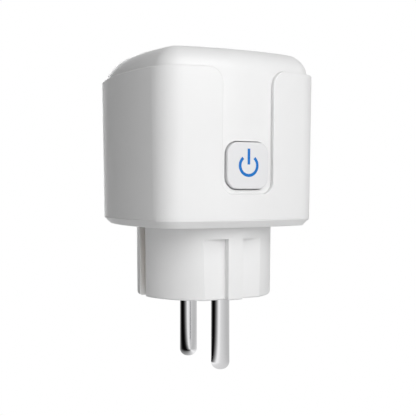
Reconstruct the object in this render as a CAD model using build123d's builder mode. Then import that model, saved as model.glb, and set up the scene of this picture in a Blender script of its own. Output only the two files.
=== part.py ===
from build123d import *
from math import radians, sqrt, tan
import os

# Smart plug with one Schuko socket. Millimetres, +Z up. The origin is the centre of the plug's
# engagement face, where the pins leave the neck. The pins point to -Z, the socket opens to +Z,
# the button faces -Y, the pins lie along Y and the earth clips on X.

os.makedirs("parts", exist_ok=True)

# --- Driving dimensions -------------------------------------------------------------------

# Plug side
pin_diameter = 4.8
pin_length = 19.0
pin_spacing = 19.0
pin_tip_radius = 2.0
pin_shank_radius = 2.1       # inside the cover
pin_seat_gap = 0.1           # round a pin where it leaves the engagement face
pin_seat_depth = 0.4
tail_head_radius = 2.0       # riveted over the copper strap
neck_length = 18.5
neck_radius = 18.15          # at the shoulder
neck_draft = 0.7             # degrees, narrowing towards the pins
neck_wall = 2.0
neck_floor = 3.0
neck_edge_radius = 0.5
flat_depth = 2.05            # from the neck's side at the shoulder to its side flats
flat_top_gap = 3.1           # from the shoulder to the top of the flats
rib_width = 4.2
earth_slot_width = 3.8
earth_slot_depth = 4.15      # from the neck's side at the shoulder
earth_slot_wall = 1.4

# Body
body_width = 50.0            # across the sleeve at its top edge
body_height = 44.6           # from the shoulder to the top of the cap
body_draft = 1.0             # degrees, the sides lean outwards going up
body_corner_radius = 8.0
side_bow_radius = 71.0
foot_height = 2.0
foot_chamfer = 1.75
sleeve_top_gap = 5.6         # from the sleeve's top edge to the top of the cap
sleeve_wall = 1.15
sleeve_edge_radius = 0.3     # round the top edge and the channel
foot_edge_radius = 0.2
foot_lip = 0.3               # past the sleeve, before the edge is rounded
touching = 0.001             # what counts as lying on a face
sleeve_clearance = 0.1
housing_wall = 1.6
cap_thickness = 2.0
cap_edge_radius = 6.0
cap_inner_radius = 2.4
lip_wall = 1.2
lip_height = 1.7
lip_clearance = 0.15

# Channel down the front of the sleeve
channel_width = 14.2
channel_bottom_gap = 8.3     # from the shoulder to the channel's lower end
channel_corner_radius = 3.0
channel_flare_radius = 4.0
channel_flare_rise = 0.15    # the flare's arc passes the sleeve's edge just before it lies flat

# Socket
recess_clearance = 0.95      # round the neck of an appliance's plug, which is as wide as this one
recess_depth = 17.5
recess_wall = 1.5
recess_floor = 1.8
recess_mouth_radius = 0.3
cup_rim_radius = 1.0
aperture_radius = 2.75
aperture_chamfer = 0.4
segment_clearance = 0.5      # between a plug's side flats and the recess's raised segments

# Button
button_width = 11.7
button_height = 11.5
button_corner_radius = 3.0
button_bottom_gap = 9.5      # from the shoulder to the button's lower edge
button_proud = 1.0           # from the channel's floor
button_gap = 0.25
button_wall = 1.2
button_edge_radius = 0.3
button_flange = 1.0
button_flange_rim = 1.0
button_travel = 0.5
button_rest_gap = 0.15       # between the flange and the housing wall
post_radius = 1.5
post_length = 0.5            # below the flange
icon_radius = 2.8            # outside of the ring
icon_stroke = 0.75
icon_depth = 0.4
icon_gap_angle = 40.0        # half of the ring's opening
icon_bar_start = 0.25
icon_bar_end = 4.15

# Tact switch, in its own board
switch_gap = 0.05
switch_size = 6.0
switch_depth = 3.4
plunger_radius = 1.75
plunger_clearance = 0.1
plunger_sunk = 1.6
plunger_stop_gap = 0.25
button_board_width = 20.0
button_board_top_gap = 1.5
button_board_thickness = 1.0
led_width = 1.6
led_height = 0.8
led_depth = 0.6
led_gap = 1.0

# Power board and what stands on it
board_thickness = 1.6
board_clearance = 0.1
boss_radius = 2.8
boss_inset = 4.4             # from the cavity's side to the screw's axis, seen from above
boss_height = 15.5
pilot_radius = 1.05
pilot_depth = 10.0
screw_radius = 1.25
screw_clearance = 0.15
screw_head_radius = 2.3
screw_head_height = 1.1
screw_length = 10.0
part_gap = 0.4               # between neighbours on the board
relay_width = 10.2
relay_length = 18.4
relay_height = 14.6
capacitor_radius = 4.0
capacitor_height = 12.0
output_capacitor_radius = 2.5
output_capacitor_height = 8.0
transformer_width = 10.0
transformer_height = 10.5
core_thickness = 2.4
winding_length = 6.0
varistor_radius = 3.5
varistor_thickness = 3.2
choke_radius = 2.5
choke_height = 6.0
fuse_radius = 1.6
fuse_height = 9.0
chip_width = 4.9
chip_length = 3.9
chip_height = 1.5
rectifier_height = 2.4
shunt_width = 6.3
shunt_length = 3.1
shunt_height = 0.8
wifi_board_width = 16.0
wifi_board_height = 17.5
wifi_board_thickness = 0.8
shield_width = 12.0
shield_height = 9.6
shield_depth = 1.8
shield_gap = 1.0             # from the shield to the housing wall
header_depth = 2.0
header_height = 1.8
header_pin = 0.5
header_pitch = 2.0

# Metal strips
earth_thickness = 0.8
earth_clip_width = 3.0
earth_clip_sunk = 2.75       # from the neck's side to the middle of the clip's strip
bracket_thickness = 0.6
bracket_width = 5.0
bracket_gap = 0.4            # from the recess wall to the bracket
spring_reach = 3.6           # from the recess wall to the middle of the earth spring
contact_thickness = 0.6
contact_width = 6.0
contact_pinch = 4.4          # between the leaves where they grip a pin
contact_mouth = 6.4
busbar_width = 3.5
busbar_thickness = 0.8
rivet_radius = 1.25
rivet_head_radius = 2.4
pin_flange_radius = 3.6
pin_flange_height = 1.2
pin_tail_radius = 1.5
pin_fit = 0.05
seat_wall = 1.2

# Shutter and the carrier under the recess floor
shutter_thickness = 2.6
shutter_clearance = 0.2
shutter_overlap = 1.2        # past an aperture's edge
shutter_width = 26.2
window_clearance = 0.2
shutter_spring_radius = 1.2
shutter_spring_wire = 0.35
shutter_spring_turns = 8
carrier_thickness = 1.5
carrier_wall = 1.2
carrier_length = 30.0        # along the shutter's travel
cage_wall = 1.0
cage_gap = 0.75
ear_radius = 2.4
carrier_screw_radius = 1.0
carrier_screw_head_radius = 1.9

# --- Heights and places worked out from them ------------------------------------------------

shoulder_z = neck_length
foot_top_z = shoulder_z + foot_height
cap_top_z = shoulder_z + body_height
sleeve_top_z = cap_top_z - sleeve_top_gap
recess_floor_z = cap_top_z - recess_depth
recess_under_z = recess_floor_z - recess_floor
cap_under_z = cap_top_z - cap_thickness
neck_end_radius = neck_radius - neck_length * tan(radians(neck_draft))
flat_distance = neck_radius - flat_depth          # from the axis to the neck's side flats
recess_radius = neck_radius + recess_clearance
earth_slot_bottom = neck_radius - earth_slot_depth
earth_clip_crest = neck_radius - earth_clip_sunk
spring_crest = recess_radius - spring_reach

sleeve_inside = sleeve_wall                       # insets from the sleeve's outer face
housing_outside = sleeve_wall + sleeve_clearance
housing_inside = housing_outside + housing_wall
lip_outside = housing_inside + lip_clearance
lip_inside = lip_outside + lip_wall

lip_top_z = foot_top_z + lip_height
board_bottom_z = lip_top_z
board_top_z = board_bottom_z + board_thickness

button_bottom_z = shoulder_z + button_bottom_gap
button_z = button_bottom_z + button_height / 2
button_face_inset = housing_outside - button_proud
channel_bottom_z = shoulder_z + channel_bottom_gap

pin_y = pin_spacing / 2


def half_width(z, inset):
    """Distance from the axis to the middle of a side, at height z, set in from the sleeve."""
    return body_width / 2 - inset - (sleeve_top_z - z) * tan(radians(body_draft))


cavity_half = half_width(board_bottom_z, housing_inside)
boss_place = cavity_half - boss_inset

shutter_top_z = recess_under_z - shutter_clearance
shutter_bottom_z = shutter_top_z - shutter_thickness
carrier_top_z = shutter_bottom_z - shutter_clearance
carrier_bottom_z = carrier_top_z - carrier_thickness
shutter_travel = 2 * aperture_radius + 2 * window_clearance
carrier_half_x = carrier_length / 2
carrier_half_y = shutter_width / 2 + shutter_clearance + carrier_wall

flange_back_y = -(half_width(button_z, housing_inside) - button_rest_gap - button_flange)
post_end_y = flange_back_y + post_length
plunger_tip_y = post_end_y + switch_gap
switch_front_y = plunger_tip_y + button_travel + plunger_stop_gap
switch_back_y = switch_front_y + switch_depth
button_board_back_y = switch_back_y + button_board_thickness
button_board_top_z = recess_under_z - button_board_top_gap


def body_outline(z, inset):
    """The body's section at height z: a square with bowed sides and rounded corners."""
    lean = (sleeve_top_z - z) * tan(radians(body_draft))
    half = half_width(z, inset)
    bow = side_bow_radius - inset - lean
    past = bow - half
    corner = (sqrt(2 * bow**2 - past**2) - past) / 2
    with BuildSketch() as section:
        with BuildLine():
            ThreePointArc((-corner, -corner), (0, -half), (corner, -corner))
            ThreePointArc((corner, -corner), (half, 0), (corner, corner))
            ThreePointArc((corner, corner), (0, half), (-corner, corner))
            ThreePointArc((-corner, corner), (-half, 0), (-corner, -corner))
        make_face()
        fillet(section.vertices(), body_corner_radius - inset - lean)
    return section.sketch


def body_prism(z_low, z_high, inset):
    """A solid with the body's section and draft between two heights."""
    with BuildPart() as prism:
        for z in (z_low, z_high):
            with BuildSketch(Plane.XY.offset(z)):
                add(body_outline(z, inset))
        loft(ruled=True)
    return prism.part


def rounded_body_prism(z_low, z_high, inset, top_radius):
    """The same solid with its upper edge rounded."""
    with BuildPart() as prism:
        with BuildSketch(Plane.XY.offset(z_low)):
            add(body_outline(z_low, inset))
        extrude(amount=z_high - z_low, taper=-body_draft)
        fillet(prism.faces().sort_by(Axis.Z)[-1].edges(), top_radius)
    return prism.part


def front_block(margin, start_y=0.0):
    """The button's outline, grown by margin, carried from start_y out through the front."""
    with BuildPart() as solid:
        with BuildSketch(Plane.XZ.offset(-start_y)):
            with Locations((0, button_z)):
                RectangleRounded(
                    button_width + 2 * margin,
                    button_height + 2 * margin,
                    button_corner_radius + margin,
                )
        extrude(amount=body_width)
    return solid.part


def strip(points, radius, thickness, width):
    """Bent metal strip: a path in the XZ plane with rounded bends, its width along Y."""
    with BuildPart() as bent:
        with BuildSketch(Plane.XZ):
            with BuildLine():
                FilletPolyline(*points, radius=radius)
            trace(line_width=thickness)
        extrude(amount=width / 2, both=True)
    return bent.part


def block(x_range, y_range, z_range):
    """A plain rectangular solid between three pairs of limits."""
    with BuildPart() as solid:
        with BuildSketch(Plane.XY.offset(z_range[0])):
            with Locations(((x_range[0] + x_range[1]) / 2, (y_range[0] + y_range[1]) / 2)):
                Rectangle(x_range[1] - x_range[0], y_range[1] - y_range[0])
        extrude(amount=z_range[1] - z_range[0])
    return solid.part


# --- Base cover: chamfered foot, round neck, side flats and earth slots ----------------------

pins_at = [(0, -pin_y), (0, pin_y)]
corners_at = [(x * boss_place, y * boss_place) for x in (-1, 1) for y in (-1, 1)]
neck_inside = neck_end_radius - neck_wall
slot_half = earth_slot_width / 2
neck_core_x = earth_slot_bottom - earth_slot_wall
side_flat_x = neck_radius - rib_width / 2

with BuildPart() as base_cover:
    for z, inset in ((shoulder_z, foot_chamfer), (foot_top_z, -foot_lip)):
        with BuildSketch(Plane.XY.offset(z)):
            add(body_outline(foot_top_z, inset))
    loft(ruled=True)
    foot_ends = base_cover.faces().filter_by(Axis.Z)
    fillet(foot_ends.edges(), foot_edge_radius)
    with BuildSketch():
        Circle(neck_end_radius)
    extrude(amount=neck_length, taper=-neck_draft)
    with BuildSketch():
        with Locations(*[
            (x * (rib_width + side_flat_x) / 2, y * (flat_distance + neck_wall))
            for x in (-1, 1)
            for y in (-1, 1)
        ]):
            Rectangle(side_flat_x, 2 * neck_wall)
    extrude(amount=shoulder_z - flat_top_gap, mode=Mode.SUBTRACT)
    fillet(base_cover.faces().sort_by(Axis.Z)[0].edges(), neck_edge_radius)
    # Hollow of the neck, with walls left round the earth slots
    with BuildSketch(Plane.XY.offset(neck_floor)):
        Circle(neck_inside)
        Rectangle(2 * neck_inside, 2 * (flat_distance - neck_wall), mode=Mode.INTERSECT)
        with Locations((-neck_radius, 0), (neck_radius, 0)):
            Rectangle(
                2 * (neck_radius - neck_core_x),
                2 * (slot_half + earth_slot_wall),
                mode=Mode.SUBTRACT,
            )
    extrude(amount=foot_top_z - neck_floor, mode=Mode.SUBTRACT)
    # Earth slots, open at the engagement face, and their passages through the foot
    with BuildSketch():
        with Locations((-neck_radius, 0), (neck_radius, 0)):
            Rectangle(2 * (neck_radius - earth_slot_bottom), earth_slot_width)
    extrude(amount=shoulder_z, mode=Mode.SUBTRACT)
    with BuildSketch(Plane.XY.offset(shoulder_z)):
        with Locations(
            (-earth_slot_bottom - earth_thickness, 0), (earth_slot_bottom + earth_thickness, 0)
        ):
            Rectangle(2 * earth_thickness, earth_slot_width)
    extrude(amount=foot_height, mode=Mode.SUBTRACT)
    # Seats round the pins' flanges
    with BuildSketch(Plane.XY.offset(neck_floor)):
        with Locations(*pins_at):
            Circle(pin_flange_radius + pin_fit + seat_wall)
            Circle(pin_flange_radius + pin_fit, mode=Mode.SUBTRACT)
        Rectangle(2 * neck_inside, 2 * (flat_distance - neck_wall), mode=Mode.INTERSECT)
    extrude(amount=pin_flange_height)
    with Locations(*pins_at):
        Hole(pin_shank_radius + pin_fit)
    # Shallow seats round the pins in the engagement face
    with BuildSketch():
        with Locations(*pins_at):
            Circle(pin_diameter / 2 + pin_seat_gap)
    extrude(amount=pin_seat_depth, mode=Mode.SUBTRACT)
    # Lip that the housing's walls close over
    add(body_prism(foot_top_z, lip_top_z, lip_outside) - body_prism(foot_top_z, lip_top_z, lip_inside))
    # Screw passages with sunk heads
    with BuildSketch(Plane.XY.offset(shoulder_z)):
        with Locations(*corners_at):
            Circle(screw_radius + screw_clearance)
    extrude(amount=foot_height + lip_height, mode=Mode.SUBTRACT)
    with BuildSketch(Plane.XY.offset(shoulder_z)):
        with Locations(*corners_at):
            Circle(screw_head_radius + screw_clearance)
    extrude(amount=screw_head_height, mode=Mode.SUBTRACT)
    # Clearance in the lip for the housing's screw columns
    with BuildSketch(Plane.XY.offset(foot_top_z)):
        with Locations(*corners_at):
            Rectangle(4 * boss_radius, 4 * boss_radius)
    extrude(amount=lip_height, mode=Mode.SUBTRACT)
base_cover.part.label = "base_cover"
export_step(base_cover.part, "parts/base_cover.step")

# --- Outer sleeve, with the channel cut down its front ----------------------------------------

channel_half = channel_width / 2
flare_top_z = sleeve_top_z + channel_flare_rise
flare_z = flare_top_z - channel_flare_radius

with BuildPart() as channel_cut:
    with BuildSketch(Plane.XZ):
        with BuildLine():
            Line((-channel_half, channel_bottom_z + channel_corner_radius), (-channel_half, flare_z))
            RadiusArc(
                (-channel_half, flare_z),
                (-channel_half - channel_flare_radius, flare_top_z),
                -channel_flare_radius,
            )
            Polyline(
                (-channel_half - channel_flare_radius, flare_top_z),
                (-channel_half - channel_flare_radius, cap_top_z),
                (channel_half + channel_flare_radius, cap_top_z),
                (channel_half + channel_flare_radius, flare_top_z),
            )
            RadiusArc(
                (channel_half + channel_flare_radius, flare_top_z),
                (channel_half, flare_z),
                -channel_flare_radius,
            )
            Line((channel_half, flare_z), (channel_half, channel_bottom_z + channel_corner_radius))
            RadiusArc(
                (channel_half, channel_bottom_z + channel_corner_radius),
                (channel_half - channel_corner_radius, channel_bottom_z),
                channel_corner_radius,
            )
            Line(
                (channel_half - channel_corner_radius, channel_bottom_z),
                (-channel_half + channel_corner_radius, channel_bottom_z),
            )
            RadiusArc(
                (-channel_half + channel_corner_radius, channel_bottom_z),
                (-channel_half, channel_bottom_z + channel_corner_radius),
                channel_corner_radius,
            )
        make_face()
    extrude(amount=body_width)

sleeve_block = body_prism(foot_top_z, sleeve_top_z, 0)
channel_reach = channel_half + channel_flare_radius

with BuildPart() as outer_sleeve:
    add(sleeve_block)
    add(body_prism(foot_top_z, sleeve_top_z, sleeve_inside), mode=Mode.SUBTRACT)
    add(channel_cut.part, mode=Mode.SUBTRACT)
    # Round the outer edges at the top and along the channel
    skin = Compound(children=sleeve_block.faces().filter_by(Axis.Z, reverse=True))
    rims = []
    for edge in outer_sleeve.edges():
        middle = edge @ 0.5
        at_the_top = sleeve_top_z - middle.Z < touching
        on_the_front = middle.Y < 0 and abs(middle.X) < channel_reach
        by_the_channel = on_the_front and middle.Z - foot_top_z > touching
        if (at_the_top or by_the_channel) and skin.distance_to(Vertex(middle)) < touching:
            rims.append(edge)
    fillet(rims, sleeve_edge_radius)
outer_sleeve.part.label = "outer_sleeve"
export_step(outer_sleeve.part, "parts/outer_sleeve.step")

# --- Inner housing: cap, recess mouth, button opening, screw columns --------------------------

segment_y = flat_distance + segment_clearance
groove_half = rib_width / 2 + segment_clearance
segment_top_z = cap_top_z - flat_top_gap + segment_clearance
bracket_x = recess_radius - bracket_gap - bracket_thickness / 2
ear_x = carrier_half_x + carrier_wall
ears_at = [(-ear_x, -pin_y), (ear_x, pin_y)]

with BuildPart() as inner_housing:
    add(rounded_body_prism(foot_top_z, cap_top_z, housing_outside, cap_edge_radius))
    add(
        rounded_body_prism(foot_top_z, cap_under_z, housing_inside, cap_inner_radius),
        mode=Mode.SUBTRACT,
    )
    # Mouth of the socket recess
    with BuildSketch(Plane.XY.offset(cap_under_z)):
        Circle(recess_radius)
    extrude(amount=cap_thickness, mode=Mode.SUBTRACT)
    round_faces = inner_housing.faces().filter_by(GeomType.CYLINDER)
    mouth = [face for face in round_faces if abs(face.radius - recess_radius) < pin_fit]
    rims = ShapeList(mouth).edges().filter_by_position(
        Axis.Z, cap_top_z - cap_thickness / 4, cap_top_z
    )
    fillet(rims, recess_mouth_radius)
    # Button opening
    add(front_block(button_gap, -recess_wall - pin_y), mode=Mode.SUBTRACT)
    # Screw columns, each with a web to its corner
    with BuildSketch(Plane.XY.offset(foot_top_z)):
        with Locations(*corners_at):
            Circle(boss_radius)
        for x, y in corners_at:
            with Locations(Location((x + boss_inset / 2 * x / abs(x), y + boss_inset / 2 * y / abs(y)))):
                Rectangle(boss_inset, boss_inset)
        add(body_outline(foot_top_z, housing_inside - housing_wall / 2), mode=Mode.INTERSECT)
    extrude(amount=boss_height)
    with BuildSketch(Plane.XY.offset(foot_top_z)):
        with Locations(*corners_at):
            Circle(pilot_radius)
    extrude(amount=pilot_depth, mode=Mode.SUBTRACT)
inner_housing.part.label = "inner_housing"
export_step(inner_housing.part, "parts/inner_housing.step")

# --- Socket cup: the recess below the cap -----------------------------------------------------

with BuildPart() as socket_cup:
    with BuildSketch(Plane.XY.offset(recess_under_z)):
        Circle(recess_radius + recess_wall)
    extrude(amount=cap_under_z - recess_under_z)
    fillet(socket_cup.faces().sort_by(Axis.Z)[-1].edges(), cup_rim_radius)
    with BuildSketch(Plane.XY.offset(recess_floor_z)):
        Circle(recess_radius)
    extrude(amount=cap_under_z - recess_floor_z, mode=Mode.SUBTRACT)
    # Raised segments that meet a plug's side flats, with a groove for its rib
    with BuildSketch(Plane.XY.offset(recess_floor_z)):
        Circle(recess_radius + recess_wall / 2)
        Rectangle(2 * body_width, 2 * segment_y, mode=Mode.SUBTRACT)
        Rectangle(2 * groove_half, 2 * body_width, mode=Mode.SUBTRACT)
    extrude(amount=segment_top_z - recess_floor_z)
    # Pin apertures, and slots for the earth springs
    with BuildSketch(Plane.XY.offset(recess_under_z)):
        with Locations(*pins_at):
            Circle(aperture_radius)
        with Locations((-bracket_x, 0), (bracket_x, 0)):
            Rectangle(bracket_thickness + bracket_gap, bracket_width + bracket_gap)
    extrude(amount=recess_floor, mode=Mode.SUBTRACT)
    floor_face = socket_cup.faces().filter_by_position(
        Axis.Z, recess_floor_z - touching, recess_floor_z + touching
    )
    floor_rings = floor_face.edges().filter_by(GeomType.CIRCLE)
    chamfer([e for e in floor_rings if abs(e.radius - aperture_radius) < pin_fit], aperture_chamfer)
    # Short bosses for the carrier's screws
    with BuildSketch(Plane.XY.offset(carrier_top_z)):
        with Locations(*ears_at):
            Circle(ear_radius)
            Circle(carrier_screw_radius, mode=Mode.SUBTRACT)
    extrude(amount=recess_under_z - carrier_top_z)
socket_cup.part.label = "socket_cup"
export_step(socket_cup.part, "parts/socket_cup.step")

# --- Button with its inlaid power symbol ------------------------------------------------------

ring_middle = icon_radius - icon_stroke / 2
hollow_y = -half_width(button_z, button_face_inset + button_wall)

with BuildPart() as icon_cut:
    with BuildSketch(Plane.XZ):
        with BuildLine():
            CenterArc((0, button_z), ring_middle, 90 + icon_gap_angle, 360 - 2 * icon_gap_angle)
        trace(line_width=icon_stroke)
        with BuildLine():
            Line((0, button_z + icon_bar_start), (0, button_z + icon_bar_end))
        trace(line_width=icon_stroke)
    extrude(amount=body_width)

with BuildPart() as button_cap:
    add(body_prism(shoulder_z, sleeve_top_z, button_face_inset))
    add(front_block(0), mode=Mode.INTERSECT)
    fillet(button_cap.faces().sort_by(Axis.Y)[0].edges(), button_edge_radius)
    # Flange behind the housing wall
    add(
        front_block(button_gap + button_flange_rim)
        & body_prism(shoulder_z, sleeve_top_z, housing_inside + button_rest_gap)
    )
    # Cut off behind the flange and hollow it out, leaving the post
    with BuildSketch(Plane.XZ):
        Rectangle(2 * body_width, 4 * body_width)
    extrude(amount=-flange_back_y, mode=Mode.SUBTRACT)
    add(
        front_block(-button_wall) & block(
            (-button_width, button_width),
            (hollow_y, 0),
            (shoulder_z, sleeve_top_z),
        ),
        mode=Mode.SUBTRACT,
    )
    with BuildSketch(Plane.XZ.offset(-post_end_y)):
        with Locations((0, button_z)):
            Circle(post_radius)
    extrude(amount=post_end_y - hollow_y)
    # Seat of the power symbol
    add(
        icon_cut.part - body_prism(shoulder_z, sleeve_top_z, button_face_inset + icon_depth),
        mode=Mode.SUBTRACT,
    )
button_cap.part.label = "button_cap"
export_step(button_cap.part, "parts/button_cap.step")

with BuildPart() as button_icon:
    add(icon_cut.part)
    add(body_prism(shoulder_z, sleeve_top_z, button_face_inset), mode=Mode.INTERSECT)
    add(
        body_prism(shoulder_z, sleeve_top_z, button_face_inset + icon_depth),
        mode=Mode.SUBTRACT,
    )
button_icon.part.label = "button_icon"
export_step(button_icon.part, "parts/button_icon.step")

# --- Plug pins --------------------------------------------------------------------------------

flange_top_z = neck_floor + pin_flange_height
busbar_top_z = flange_top_z + busbar_thickness
tail_head_z = busbar_top_z + pin_flange_height / 2

for name, y in (("line_pin", -pin_y), ("neutral_pin", pin_y)):
    with BuildPart() as pin:
        with BuildSketch(Plane.XY.offset(-pin_length)):
            with Locations((0, y)):
                Circle(pin_diameter / 2)
        extrude(amount=pin_length)
        fillet(pin.faces().sort_by(Axis.Z)[0].edges(), pin_tip_radius)
        with BuildSketch():
            with Locations((0, y)):
                Circle(pin_shank_radius)
        extrude(amount=neck_floor)
        with BuildSketch(Plane.XY.offset(neck_floor)):
            with Locations((0, y)):
                Circle(pin_flange_radius)
        extrude(amount=pin_flange_height)
        with BuildSketch(Plane.XY.offset(flange_top_z)):
            with Locations((0, y)):
                Circle(pin_tail_radius)
        extrude(amount=busbar_thickness)
        with BuildSketch(Plane.XY.offset(busbar_top_z)):
            with Locations((0, y)):
                Circle(tail_head_radius)
        extrude(amount=tail_head_z - busbar_top_z)
    pin.part.label = name
    export_step(pin.part, f"parts/{name}.step")

# --- Copper straps from the pins up to the power board ----------------------------------------

busbar_riser_x = pin_flange_radius + pin_fit + seat_wall + busbar_thickness
busbar_top = board_top_z + busbar_thickness
busbar_middle_z = flange_top_z + busbar_thickness / 2

for name, y in (("line_busbar", -pin_y), ("neutral_busbar", pin_y)):
    with BuildPart() as busbar:
        add(strip(
            [
                (0, busbar_middle_z),
                (busbar_riser_x, busbar_middle_z),
                (busbar_riser_x, busbar_top),
            ],
            busbar_thickness,
            busbar_thickness,
            busbar_width,
        ).moved(Location((0, y, 0))))
        with BuildSketch(Plane.XY.offset(flange_top_z)):
            with Locations((0, y)):
                Circle(pin_flange_radius)
        extrude(amount=busbar_thickness)
        with BuildSketch(Plane.XY.offset(flange_top_z)):
            with Locations((0, y)):
                Circle(pin_tail_radius + pin_fit)
        extrude(amount=busbar_thickness, mode=Mode.SUBTRACT)
    busbar.part.label = name
    export_step(busbar.part, f"parts/{name}.step")

# --- Earth: plug clips, socket springs and the rivet that joins them --------------------------

earth_z = foot_top_z + earth_thickness / 2
earth_leg_x = earth_slot_bottom + earth_thickness
clip_low_z = neck_floor / 2
clip_crest_z = neck_length * 0.45
bracket_z = earth_z + earth_thickness / 2 + bracket_thickness / 2
spring_crest_z = recess_floor_z + recess_depth * 0.4
spring_end_z = recess_floor_z + recess_depth * 0.75
floor_turn_z = recess_floor_z + bracket_thickness

with BuildPart() as plug_earth_strap:
    for side in (-1, 1):
        add(strip(
            [
                (0, earth_z),
                (side * earth_leg_x, earth_z),
                (side * earth_leg_x, shoulder_z - flat_top_gap),
                (side * earth_clip_crest, clip_crest_z),
                (side * (earth_leg_x - pin_fit), clip_low_z),
            ],
            earth_thickness,
            earth_thickness,
            earth_clip_width,
        ))
    with BuildSketch(Plane.XY.offset(earth_z - earth_thickness / 2)):
        Circle(rivet_radius)
    extrude(amount=earth_thickness, mode=Mode.SUBTRACT)
plug_earth_strap.part.label = "plug_earth_strap"
export_step(plug_earth_strap.part, "parts/plug_earth_strap.step")

with BuildPart() as socket_earth_bracket:
    for side in (-1, 1):
        add(strip(
            [
                (0, bracket_z),
                (side * bracket_x, bracket_z),
                (side * bracket_x, floor_turn_z),
                (side * spring_crest, spring_crest_z),
                (side * bracket_x, spring_end_z),
            ],
            2 * bracket_thickness,
            bracket_thickness,
            bracket_width,
        ))
    with BuildSketch(Plane.XY.offset(bracket_z - bracket_thickness / 2)):
        Circle(rivet_radius)
    extrude(amount=bracket_thickness, mode=Mode.SUBTRACT)
socket_earth_bracket.part.label = "socket_earth_bracket"
export_step(socket_earth_bracket.part, "parts/socket_earth_bracket.step")

rivet_low_z = earth_z - earth_thickness / 2
with BuildPart() as earth_rivet:
    with BuildSketch(Plane.XY.offset(rivet_low_z)):
        Circle(rivet_radius)
    extrude(amount=earth_thickness + bracket_thickness)
    with BuildSketch(Plane.XY.offset(rivet_low_z)):
        Circle(rivet_head_radius)
    extrude(amount=-earth_thickness)
    fillet(earth_rivet.faces().sort_by(Axis.Z)[0].edges(), earth_thickness / 2)
earth_rivet.part.label = "earth_rivet"
export_step(earth_rivet.part, "parts/earth_rivet.step")

# --- Carrier under the recess floor, shutter, and their small parts ---------------------------

cage_x = contact_mouth / 2 + contact_thickness + cage_gap + cage_wall
cage_y = contact_width / 2 + cage_gap + cage_wall
pin_reach_z = recess_floor_z - pin_length
cage_low_z = pin_reach_z + cage_wall
rail_x = carrier_half_x - carrier_wall
rail_y = carrier_half_y - carrier_wall

with BuildPart() as contact_carrier:
    with BuildSketch(Plane.XY.offset(carrier_bottom_z)):
        Rectangle(2 * carrier_half_x, 2 * carrier_half_y)
        with Locations(*ears_at):
            Circle(ear_radius)
    extrude(amount=carrier_thickness)
    with BuildSketch(Plane.XY.offset(carrier_top_z)):
        Rectangle(2 * carrier_half_x, 2 * carrier_half_y)
        Rectangle(2 * rail_x, 2 * rail_y, mode=Mode.SUBTRACT)
        with Locations(*ears_at):
            Circle(ear_radius + pin_fit, mode=Mode.SUBTRACT)
    extrude(amount=recess_under_z - carrier_top_z)
    with BuildSketch(Plane.XY.offset(cage_low_z)):
        with Locations(*pins_at):
            Rectangle(2 * cage_x, 2 * cage_y)
            Rectangle(2 * (cage_x - cage_wall), 2 * (cage_y - cage_wall), mode=Mode.SUBTRACT)
    extrude(amount=carrier_bottom_z - cage_low_z)
    with BuildSketch(Plane.XY.offset(carrier_bottom_z)):
        with Locations(*pins_at):
            Circle(aperture_radius + window_clearance)
    extrude(amount=carrier_thickness, mode=Mode.SUBTRACT)
    with BuildSketch(Plane.XY.offset(carrier_bottom_z)):
        with Locations(*ears_at):
            Circle(carrier_screw_radius + pin_fit)
    extrude(amount=carrier_thickness, mode=Mode.SUBTRACT)
    with BuildSketch(Plane.XY.offset(carrier_bottom_z)):
        with Locations(*ears_at):
            Circle(carrier_screw_head_radius + pin_fit)
    extrude(amount=carrier_thickness / 2, mode=Mode.SUBTRACT)
contact_carrier.part.label = "contact_carrier"
export_step(contact_carrier.part, "parts/contact_carrier.step")

screw_top_z = recess_under_z - pin_fit
with BuildPart() as carrier_screws:
    with BuildSketch(Plane.XY.offset(carrier_bottom_z)):
        with Locations(*ears_at):
            Circle(carrier_screw_head_radius)
    extrude(amount=carrier_thickness / 2)
    with BuildSketch(Plane.XY.offset(carrier_bottom_z)):
        with Locations(*ears_at):
            Circle(carrier_screw_radius)
    extrude(amount=screw_top_z - carrier_bottom_z)
    with BuildSketch(Plane.XY.offset(carrier_bottom_z)):
        with Locations(*ears_at):
            Rectangle(carrier_screw_head_radius, carrier_screw_head_radius / 5)
            Rectangle(carrier_screw_head_radius / 5, carrier_screw_head_radius)
    extrude(amount=carrier_thickness / 4, mode=Mode.SUBTRACT)
carrier_screws.part.label = "carrier_screws"
export_step(carrier_screws.part, "parts/carrier_screws.step")

window_radius = aperture_radius + window_clearance
shutter_low_x = -shutter_travel - window_radius - shutter_overlap
shutter_high_x = aperture_radius + shutter_overlap
spring_z = (shutter_bottom_z + shutter_top_z) / 2

with BuildPart() as safety_shutter:
    add(block(
        (shutter_low_x, shutter_high_x),
        (-shutter_width / 2, shutter_width / 2),
        (shutter_bottom_z, shutter_top_z),
    ))
    with BuildSketch(Plane.XY.offset(shutter_bottom_z)):
        with Locations(*[(-shutter_travel, y) for x, y in pins_at]):
            Circle(window_radius)
    extrude(amount=shutter_thickness, mode=Mode.SUBTRACT)
    # Ramps that a pin pushes on, falling towards the windows
    for x, y in pins_at:
        with BuildSketch(Plane.XZ.offset(-y)):
            with BuildLine():
                Polyline(
                    (aperture_radius, shutter_top_z),
                    (-aperture_radius, shutter_top_z - shutter_thickness / 2),
                    (-shutter_travel, shutter_top_z - shutter_thickness / 2),
                    (-shutter_travel, shutter_top_z),
                    close=True,
                )
            make_face()
        extrude(amount=aperture_radius, both=True, mode=Mode.SUBTRACT)
safety_shutter.part.label = "safety_shutter"
export_step(safety_shutter.part, "parts/safety_shutter.step")

spring_length = rail_x - shutter_high_x
spring_pitch = (spring_length - 2 * shutter_spring_wire) / shutter_spring_turns
coil_radius = shutter_spring_radius - shutter_spring_wire / 2

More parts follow.
